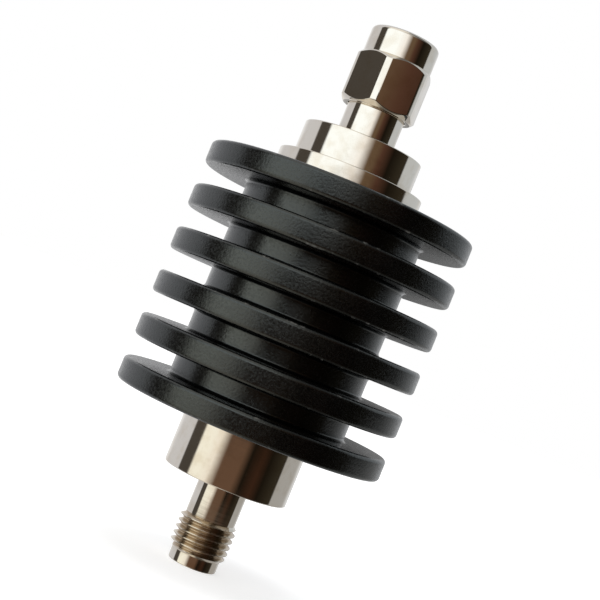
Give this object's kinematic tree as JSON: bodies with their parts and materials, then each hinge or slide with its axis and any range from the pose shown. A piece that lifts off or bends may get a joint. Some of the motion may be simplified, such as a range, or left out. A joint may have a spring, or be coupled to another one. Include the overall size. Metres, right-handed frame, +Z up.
{
  "type": "rf attenuator",
  "caption": "Coaxial plug-to-jack attenuator: a nickel-plated housing with a free-turning hex coupling nut, in a turned black heat sink with round fins.",
  "frame": {"origin": "centre of the jack's front face, on which the part stands", "axes": "+Z up the common axis, from the jack to the plug; the chip's split plane is Y = 0"},
  "size_m": [0.03, 0.03, 0.0609],
  "materials": {
    "black_anodised": "bead-blasted matte black anodising",
    "nickel_plate": "turned brass with bright nickel plate",
    "insulator_white": "white fluoropolymer, waxy",
    "contact_gold": "gold plate, bright",
    "gasket_silicone": "moulded silicone, matte",
    "carrier_aluminium": "machined, bare",
    "chip_ceramic": "white fired ceramic",
    "spring_metal": "spring bronze, bright"
  },
  "bodies": {
    "attenuator": {"heat_sink": "black_anodised", "housing_sleeve": "nickel_plate", "jack_shell": "nickel_plate", "jack_insulator": "insulator_white", "jack_contact": "contact_gold", "plug_shell": "nickel_plate", "plug_insulator": "insulator_white", "plug_pin": "contact_gold", "sealing_gasket": "gasket_silicone", "carrier_base": "carrier_aluminium", "carrier_cover": "carrier_aluminium", "attenuator_chip": "chip_ceramic", "input_tab": "contact_gold", "output_tab": "contact_gold"},
    "snap_ring": {"retaining_ring": "spring_metal"},
    "nut": {"coupling_nut": "nickel_plate"}
  },
  "joints": [
    {"name": "nut_float", "type": "slide", "parent": "attenuator", "child": "snap_ring", "axis": [0, 0, 1], "range_m": [0, 0.0004]},
    {"name": "nut_spin", "type": "hinge", "parent": "snap_ring", "child": "nut", "pos_m": [0, 0, 0.0555], "axis": [0, 0, 1], "continuous": true}
  ]
}
